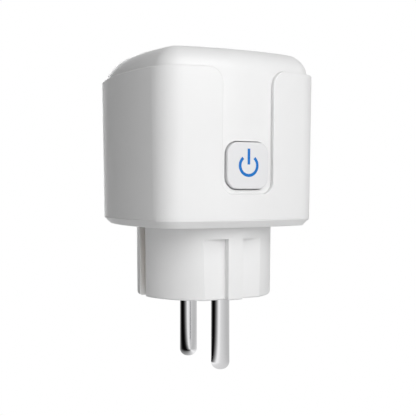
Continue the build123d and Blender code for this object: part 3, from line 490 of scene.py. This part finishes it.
def board(name, mask, track):
    """A circuit board under solder mask."""
    values = {"Mask": with_alpha(mask), "Track": with_alpha(track)}
    return new_finish(name, printed_tracks(), values, 0.00003, Coat_Weight=0.3)


def finish_nodes(names, material):
    """Gives one material to several CAD nodes."""
    for name in names:
        mesh = NODES[name].data
        mesh.materials.clear()
        mesh.materials.append(material)


# --- Operators ------------------------------------------------------------------------------


class PLUG_OT_shells(bpy.types.Operator):
    """Finish the sleeve, the housing and the base cover in moulded white plastic"""

    bl_idname = "plug.shells"
    bl_label = "White shells"

    def execute(self, context):
        plastic = context.scene.plug_plastic
        material = moulded(
            "white_shell", plastic.shell_colour, plastic.shell_roughness,
            plastic.grain_size, plastic.grain_depth, shade=0.975,
            Coat_Weight=0.08, Coat_Roughness=0.25,
        )
        finish_nodes(WHITE_SHELLS, material)
        return {"FINISHED"}


class PLUG_OT_button(bpy.types.Operator):
    """Finish the button, its power symbol, and the switch behind it"""

    bl_idname = "plug.button"
    bl_label = "Button"

    def execute(self, context):
        plastic = context.scene.plug_plastic
        icon = context.scene.plug_icon
        finish_nodes(("button_cap",), moulded(
            "button_plastic", plastic.button_colour, plastic.shell_roughness,
            plastic.grain_size, plastic.grain_depth, shade=0.98,
        ))
        symbol = moulded("symbol_blue", icon.colour, 0.4, shade=0.9, Specular_IOR_Level=0.3)
        shader = symbol.node_tree.nodes["Principled BSDF"]
        # Painted glow: the symbol emits a faint light in its own blue, though no lamp lies behind
        # it.
        shader.inputs["Emission Color"].default_value = with_alpha(icon.colour)
        shader.inputs["Emission Strength"].default_value = icon.painted_glow
        finish_nodes(("button_icon",), symbol)
        finish_nodes(("switch_body",), moulded("switch_black", (0.03, 0.03, 0.03), 0.45))
        finish_nodes(("switch_plunger",), moulded("plunger_red", (0.45, 0.04, 0.03), 0.4))
        finish_nodes(("status_led",), moulded(
            "led_resin", (0.8, 0.85, 0.95), 0.15, Transmission_Weight=0.3,
        ))
        return {"FINISHED"}


class PLUG_OT_metal_parts(bpy.types.Operator):
    """Finish the pins, the earth springs, the contacts, the straps and the screws"""

    bl_idname = "plug.metal_parts"
    bl_label = "Metal parts"

    def execute(self, context):
        finish = context.scene.plug_metal
        plated = metal("plated_pin", finish.plating, finish.pin_roughness, dull=0.97)
        finish_nodes(PLATED_PINS, plated)
        finish_nodes(EARTH_BRASS, metal("spring_brass", finish.brass, 0.22))
        finish_nodes(CONTACT_BRONZE, metal("contact_bronze", finish.bronze, 0.25))
        finish_nodes(COPPER_STRAPS, metal("copper_strap", finish.copper, 0.28))
        finish_nodes(ZINC_STEEL, metal("zinc_steel", finish.steel, 0.3))
        finish_nodes(("wifi_shield",), metal("tin_shield", (0.66, 0.66, 0.65), 0.3))
        return {"FINISHED"}


class PLUG_OT_inner_plastics(bpy.types.Operator):
    """Finish the contact carrier, the shutter and the relay"""

    bl_idname = "plug.inner_plastics"
    bl_label = "Inner plastics"

    def execute(self, context):
        finish_nodes(("contact_carrier",), moulded("carrier_nylon", (0.05, 0.05, 0.055), 0.5))
        finish_nodes(("safety_shutter",), moulded("shutter_acetal", (0.78, 0.77, 0.72), 0.35))
        finish_nodes(("relay",), moulded("relay_case", (0.02, 0.09, 0.33), 0.35, shade=0.8))
        return {"FINISHED"}


class PLUG_OT_boards(bpy.types.Operator):
    """Finish the circuit boards and the parts on them"""

    bl_idname = "plug.boards"
    bl_label = "Boards and their parts"

    def execute(self, context):
        green = board("green_board", (0.012, 0.11, 0.035), (0.03, 0.22, 0.08))
        blue = board("blue_board", (0.01, 0.03, 0.13), (0.03, 0.08, 0.26))
        finish_nodes(("main_pcb", "button_board"), green)
        finish_nodes(("wifi_board",), blue)
        finish_nodes(CHIPS, moulded("chip_epoxy", (0.02, 0.02, 0.022), 0.55, grain_depth=0.00001))
        finish_nodes(FERRITES, moulded("ferrite", (0.045, 0.043, 0.045), 0.6, grain_depth=0.00002))
        finish_nodes(CANS, moulded("can_sleeve", (0.03, 0.035, 0.06), 0.3, shade=0.7))
        finish_nodes(("transformer_winding",), moulded("yellow_tape", (0.75, 0.5, 0.04), 0.35))
        finish_nodes(("varistor",), moulded("varistor_epoxy", (0.03, 0.12, 0.4), 0.4, shade=0.75))
        finish_nodes(("fuse_resistor",), moulded("lacquer_green", (0.06, 0.2, 0.1), 0.4))
        return {"FINISHED"}


# --- Small parts ----------------------------------------------------------------------------


def open_alone(piece):
    """Opens a piece in edit mode, alone and with all of it selected."""
    bpy.ops.object.select_all(action="DESELECT")
    piece.select_set(True)
    bpy.context.view_layer.objects.active = piece
    bpy.ops.object.mode_set(mode="EDIT")
    bpy.ops.mesh.select_all(action="SELECT")


def start_piece(name, centre, size):
    """A block of the given size, alone, open in edit mode with nothing selected."""
    bpy.ops.object.select_all(action="DESELECT")
    bpy.ops.mesh.primitive_cube_add(size=1.0, location=centre, scale=size)
    piece = bpy.context.active_object
    piece.name = name
    piece.data.name = name
    bpy.ops.object.transform_apply(location=True, rotation=True, scale=True)
    bpy.ops.object.mode_set(mode="EDIT")
    bpy.ops.mesh.select_mode(type="FACE")
    bpy.ops.mesh.select_all(action="DESELECT")
    return piece


def pick_face(piece, facing, near):
    """Selects the one face that points in the direction facing and lies nearest to a place."""
    mesh = bmesh.from_edit_mesh(piece.data)
    fronts = [face for face in mesh.faces if face.normal.dot(facing) > 0.9]
    nearest = min(fronts, key=lambda face: (face.calc_center_median() - near).length)
    for face in mesh.faces:
        face.select_set(face is nearest)
    mesh.select_flush_mode()
    bmesh.update_edit_mesh(piece.data)


def pull_out(piece, facing, near, distance, taper=1.0):
    """Extrudes the face nearest to a place, narrows it by taper, and gives the new end's place."""
    facing = Vector(facing)
    pick_face(piece, facing, near)
    mesh = bmesh.from_edit_mesh(piece.data)
    end = next(face for face in mesh.faces if face.select).calc_center_median()
    end = end + facing * distance
    bpy.ops.mesh.extrude_region_move(TRANSFORM_OT_translate={"value": facing * distance})
    if taper != 1.0:
        bpy.ops.transform.resize(value=(taper, taper, taper), center_override=end)
    return end


def close_piece(piece, edge_radius):
    """Bevels all edges, squares up the normals and leaves edit mode."""
    bpy.ops.mesh.select_all(action="SELECT")
    bpy.ops.mesh.bevel(offset=edge_radius, offset_type="OFFSET", segments=1, affect="EDGES")
    bpy.ops.mesh.remove_doubles(threshold=1e-7)
    bpy.ops.mesh.normals_make_consistent(inside=False)
    bpy.ops.object.mode_set(mode="OBJECT")


def repeat_along(piece, step, count):
    """Repeats the piece in a row, as one mesh."""
    row = piece.modifiers.new("row", "ARRAY")
    row.use_relative_offset = False
    row.use_constant_offset = True
    row.constant_offset_displace = step
    row.count = count
    bpy.ops.object.modifier_apply(modifier=row.name)


def ready(piece, material):
    """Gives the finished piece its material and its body."""
    piece.data.materials.clear()
    piece.data.materials.append(material)
    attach(piece, "body")


class PLUG_OT_return_spring(bpy.types.Operator):
    """Make the shutter's spring as a copy of the CAD coil; the spring shortens as the shutter
    opens, but this copy keeps one length
    """

    bl_idname = "plug.return_spring"
    bl_label = "Shutter spring"

    def execute(self, context):
        coil = NODES["shutter_spring"].data.copy()
        piece = bpy.data.objects.new("return_spring", coil)
        context.scene.collection.objects.link(piece)
        open_alone(piece)
        bpy.ops.mesh.remove_doubles(threshold=1e-7)
        bpy.ops.mesh.normals_make_consistent(inside=False)
        bpy.ops.object.mode_set(mode="OBJECT")
        bpy.ops.object.shade_smooth_by_angle(angle=math.radians(40.0))
        wire = metal("spring_wire", (0.5, 0.5, 0.52), 0.28, line_size=0.00008)
        ready(piece, wire)
        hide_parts("shutter_spring")
        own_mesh(piece)
        return {"FINISHED"}


class PLUG_OT_header_pins(bpy.types.Operator):
    """Model the bent pins of the two board headers"""

    bl_idname = "plug.header_pins"
    bl_label = "Header pins"

    def execute(self, context):
        sizes = context.scene.plug_parts
        gold = metal("gilt_pins", (0.72, 0.5, 0.2), 0.25)
        for header, upright in (("board_header", "button_board"), ("wifi_header", "wifi_board")):
            low, high = map(Vector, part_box(header))
            board_low, board_high = map(Vector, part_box(upright))
            floor_low = Vector(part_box("main_pcb")[0])
            width = sizes.pin_width
            count = round((high.x - low.x) / sizes.pin_pitch)
            middle = (low + high) / 2
            outwards = -1.0 if board_low.y < low.y else 1.0
            edge = low.y if outwards < 0 else high.y
            through = board_high.y - board_low.y + width
            start = Vector((low.x + sizes.pin_pitch / 2, middle.y, middle.z))
            piece = start_piece(header + "_pins", start, (width, width, width))
            down, side = (0.0, 0.0, -1.0), (0.0, outwards, 0.0)
            end = pull_out(piece, down, start, middle.z - floor_low.z)
            pull_out(piece, down, end, width / 2, taper=0.5)
            reach = abs(edge - middle.y) - width / 2 + through
            end = pull_out(piece, side, start, reach)
            pull_out(piece, side, end, width / 2, taper=0.5)
            close_piece(piece, width * 0.08)
            repeat_along(piece, (sizes.pin_pitch, 0.0, 0.0), count)
            ready(piece, gold)
        return {"FINISHED"}


class PLUG_OT_chip_legs(bpy.types.Operator):
    """Model the folded legs of the chips and the rectifier"""

    bl_idname = "plug.chip_legs"
    bl_label = "Chip legs"

    def execute(self, context):
        sizes = context.scene.plug_parts
        tin = metal("tinned_legs", (0.72, 0.72, 0.7), 0.3)
        for chip in LEGGED_CHIPS:
            low, high = map(Vector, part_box(chip))
            middle = (low + high) / 2
            count = int((high.x - low.x) / sizes.leg_pitch)
            row = (count - 1) * sizes.leg_pitch
            width, thick = sizes.leg_width, sizes.leg_thickness
            rise = high.z - middle.z - thick
            start = Vector((middle.x - row / 2, high.y, middle.z))
            piece = start_piece(chip + "_legs", start, (width, thick, thick))
            outwards, up = (0.0, 1.0, 0.0), (0.0, 0.0, 1.0)
            end = pull_out(piece, outwards, start, 2 * thick)
            end = pull_out(piece, outwards, end, thick)
            end = pull_out(piece, up, end, rise - thick / 2)
            end = pull_out(piece, up, end, thick)
            pull_out(piece, outwards, end, width)
            close_piece(piece, thick * 0.1)
            repeat_along(piece, (sizes.leg_pitch, 0.0, 0.0), count)
            other = piece.copy()
            other.data = piece.data.copy()
            other.name = chip + "_legs_back"
            other.data.name = other.name
            context.scene.collection.objects.link(other)
            open_alone(other)
            bpy.ops.transform.resize(value=(1.0, -1.0, 1.0), center_override=middle)
            bpy.ops.mesh.normals_make_consistent(inside=False)
            bpy.ops.object.mode_set(mode="OBJECT")
            ready(piece, tin)
            ready(other, tin)
        return {"FINISHED"}


class PLUG_OT_aerial(bpy.types.Operator):
    """Model the radio board's printed aerial, a folded track above the shield"""

    bl_idname = "plug.aerial"
    bl_label = "Printed aerial"

    def execute(self, context):
        sizes = context.scene.plug_parts
        low, high = map(Vector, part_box("wifi_board"))
        shield_low, shield_high = map(Vector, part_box("wifi_shield"))
        width = sizes.track_width
        thick = width / 8
        outwards = -1.0 if shield_low.y < low.y else 1.0
        face_y = low.y if outwards < 0 else high.y
        bottom, top = shield_high.z + 2 * width, high.z - width
        reach = high.x - low.x - 4 * width
        folds = int(reach / (4 * width))
        start = Vector((low.x + 2 * width, face_y, bottom))
        piece = start_piece("printed_aerial", start, (width, width, width))
        bpy.ops.mesh.select_mode(type="VERT")
        bpy.ops.mesh.select_all(action="SELECT")
        bpy.ops.mesh.merge(type="CENTER")
        rise, across = (0, 0, top - bottom), (2 * width, 0, 0)
        for step in (rise, across, (0, 0, bottom - top), across) * folds:
            bpy.ops.mesh.extrude_region_move(TRANSFORM_OT_translate={"value": step})
        bpy.ops.mesh.select_all(action="SELECT")
        bpy.ops.mesh.extrude_region_move(
            TRANSFORM_OT_translate={"value": (0, outwards * thick, 0)}
        )
        bpy.ops.object.mode_set(mode="OBJECT")
        wall = piece.modifiers.new("track", "SOLIDIFY")
        wall.thickness = width
        wall.offset = 0.0
        wall.use_even_offset = True
        bpy.ops.object.modifier_apply(modifier=wall.name)
        bpy.ops.object.mode_set(mode="EDIT")
        close_piece(piece, thick * 0.2)
        copper = metal("aerial_copper", (0.75, 0.45, 0.22), 0.35)
        ready(piece, copper)
        return {"FINISHED"}


# --- Floor, lights and camera ---------------------------------------------------------------


def area_light(name, place, target, size, power):
    """A square soft light facing target."""
    data = bpy.data.lights.new(name, "AREA")
    data.shape = "SQUARE"
    data.size = size
    data.energy = power
    lamp = bpy.data.objects.new(name, data)
    bpy.context.scene.collection.objects.link(lamp)
    lamp.location = place
    lamp.rotation_euler = (target - place).to_track_quat("-Z", "Y").to_euler()


def polar(distance, azimuth, height):
    """A place round the plug's axis; an azimuth of 0 is straight in front of the button."""
    return Vector((distance * math.sin(azimuth), -distance * math.cos(azimuth), height))


def softbox_room():
    """How bright the room looks in gloss, by direction: dark on the left, pale on the right."""
    tree = bpy.data.node_groups.get("softbox_room")
    if tree:
        return tree
    tree, start, end = new_group(
        "softbox_room",
        (("Direction", "NodeSocketVector", (0.0, 0.0, 0.0)),),
        (("Level", "NodeSocketFloat"),),
    )
    side = add_node(tree, "ShaderNodeVectorMath", operation="DOT_PRODUCT")
    turn = bpy.context.scene.plug_studio.room_azimuth
    side.inputs[1].default_value = (math.cos(turn), math.sin(turn), 0.0)
    flat = add_node(tree, "ShaderNodeVectorMath", operation="MULTIPLY")
    flat.inputs[1].default_value = (1.0, 1.0, 0.0)
    unit = add_node(tree, "ShaderNodeVectorMath", operation="NORMALIZE")
    share = add_node(tree, "ShaderNodeMapRange", From_Min=-1.0, From_Max=1.0)
    level = add_node(tree, "ShaderNodeValToRGB")
    ramp = level.color_ramp
    for place, value in ROOM_LEVELS:
        grey = (value, value, value, 1.0)
        ramp.elements.new(place).color = grey
    ramp.elements[0].color = (0.0, 0.0, 0.0, 1.0)
    ramp.elements[-1].color = (0.5, 0.5, 0.5, 1.0)
    link(
        tree,
        (start.outputs["Direction"], flat.inputs[0]),
        (flat.outputs["Vector"], unit.inputs[0]),
        (unit.outputs["Vector"], side.inputs[0]),
        (side.outputs["Value"], share.inputs["Value"]),
        (share.outputs["Result"], level.inputs["Fac"]),
        (level.outputs["Color"], end.inputs["Level"]),
    )
    return tree


def shown_apart(tree, out, lit, direction, brightness):
    """Shows white to the camera, the softbox room to gloss, and the lit shader to other rays."""
    path = add_node(tree, "ShaderNodeLightPath")
    room = tree.nodes.new("ShaderNodeGroup")
    room.node_tree = softbox_room()
    mirrored = add_node(tree, "ShaderNodeEmission", Strength=brightness)
    gloss = add_node(tree, "ShaderNodeMixShader")
    white = add_node(tree, "ShaderNodeEmission", Strength=1.0)
    shown = add_node(tree, "ShaderNodeMixShader")
    link(
        tree,
        (direction, room.inputs["Direction"]),
        (room.outputs["Level"], mirrored.inputs["Color"]),
        (path.outputs["Is Glossy Ray"], gloss.inputs["Fac"]),
        (lit, gloss.inputs[1]),
        (mirrored.outputs["Emission"], gloss.inputs[2]),
        (path.outputs["Is Camera Ray"], shown.inputs["Fac"]),
        (gloss.outputs["Shader"], shown.inputs[1]),
        (white.outputs["Emission"], shown.inputs[2]),
        (shown.outputs["Shader"], out),
    )


class PLUG_OT_stage(bpy.types.Operator):
    """Make the floor, the lights and the camera"""

    bl_idname = "plug.stage"
    bl_label = "Floor, lights and camera"

    def execute(self, context):
        setup = context.scene.plug_studio
        scene = context.scene
        scene.view_settings.view_transform = "Standard"
        self.make_floor(setup)
        self.make_room(scene, setup)
        self.make_lights(setup)
        self.make_camera(scene, setup)
        return {"FINISHED"}

    def make_floor(self, setup):
        bpy.ops.mesh.primitive_plane_add(size=8.0, location=(0.0, 0.0, CAD_LOW.z))
        floor = bpy.context.object
        floor.name = "floor"
        material = bpy.data.materials.new("pale_floor")
        material.use_nodes = True
        tree = material.node_tree
        shader = tree.nodes["Principled BSDF"]
        shader.inputs["Base Color"].default_value = with_alpha(setup.floor_colour)
        shader.inputs["Roughness"].default_value = 0.9
        place = add_node(tree, "ShaderNodeTexCoord")
        out = tree.nodes["Material Output"].inputs["Surface"]
        shown_apart(
            tree, out, shader.outputs["BSDF"], place.outputs["Object"], setup.mirrored_room
        )
        floor.data.materials.append(material)

    def make_room(self, scene, setup):
        world = bpy.data.worlds.new("room")
        scene.world = world
        world.use_nodes = True
        tree = world.node_tree
        room = tree.nodes["Background"]
        room.inputs["Color"].default_value = (1.0, 1.0, 1.0, 1.0)
        room.inputs["Strength"].default_value = setup.room_light
        place = add_node(tree, "ShaderNodeTexCoord")
        out = tree.nodes["World Output"].inputs["Surface"]
        shown_apart(
            tree, out, room.outputs["Background"], place.outputs["Generated"],
            setup.mirrored_room,
        )

    def make_lights(self, setup):
        middle = Vector((0.0, 0.0, CAD_HIGH.z / 2))
        above = polar(
            LIGHT_DISTANCE * math.cos(setup.key_elevation),
            setup.key_azimuth,
            middle.z + LIGHT_DISTANCE * math.sin(setup.key_elevation),
        )
        behind = polar(LIGHT_DISTANCE, setup.fill_azimuth, FILL_HEIGHT)
        area_light("key", above, middle, setup.key_size, setup.key_power)
        area_light("fill", behind, middle, setup.fill_size, setup.fill_power)

    def make_camera(self, scene, setup):
        data = bpy.data.cameras.new("camera")
        data.sensor_width = 36.0
        data.lens = setup.lens
        data.shift_y = setup.shift_up
        data.clip_start = 0.01
        camera = bpy.data.objects.new("camera", data)
        scene.collection.objects.link(camera)
        camera.location = polar(
            setup.camera_distance, setup.camera_azimuth, setup.camera_height
        )
        turn = setup.camera_azimuth + setup.camera_turn
        camera.rotation_euler = (math.radians(90.0), 0.0, turn)
        scene.camera = camera


class PLUG_PT_panel(bpy.types.Panel):
    """The steps, in order"""

    bl_idname = "PLUG_PT_panel"
    bl_label = "Smart plug"
    bl_space_type = "VIEW_3D"
    bl_region_type = "UI"
    bl_category = "Smart plug"

    def draw(self, context):
        for step in STEPS:
            self.layout.operator(step.bl_idname)


SETTINGS = (
    ("plug_plastic", PlasticFinish),
    ("plug_icon", IconFinish),
    ("plug_metal", MetalFinish),
    ("plug_parts", SmallPartSizes),
    ("plug_studio", StudioSetup),
)
STEPS = (
    PLUG_OT_shells,
    PLUG_OT_button,
    PLUG_OT_metal_parts,
    PLUG_OT_inner_plastics,
    PLUG_OT_boards,
    PLUG_OT_return_spring,
    PLUG_OT_header_pins,
    PLUG_OT_chip_legs,
    PLUG_OT_aerial,
    PLUG_OT_stage,
)


def register():
    for name, group in SETTINGS:
        bpy.utils.register_class(group)
        setattr(bpy.types.Scene, name, bpy.props.PointerProperty(type=group))
    for cls in STEPS + (PLUG_PT_panel,):
        bpy.utils.register_class(cls)


def unregister():
    for cls in reversed(STEPS + (PLUG_PT_panel,)):
        bpy.utils.unregister_class(cls)
    for name, group in reversed(SETTINGS):
        delattr(bpy.types.Scene, name)
        bpy.utils.unregister_class(group)


def main():
    """Run every step in order."""
    register()
    bpy.ops.plug.shells()
    bpy.ops.plug.button()
    bpy.ops.plug.metal_parts()
    bpy.ops.plug.inner_plastics()
    bpy.ops.plug.boards()
    bpy.ops.plug.return_spring()
    bpy.ops.plug.header_pins()
    bpy.ops.plug.chip_legs()
    bpy.ops.plug.aerial()
    bpy.ops.plug.stage()


if __name__ == "__main__":
    main()
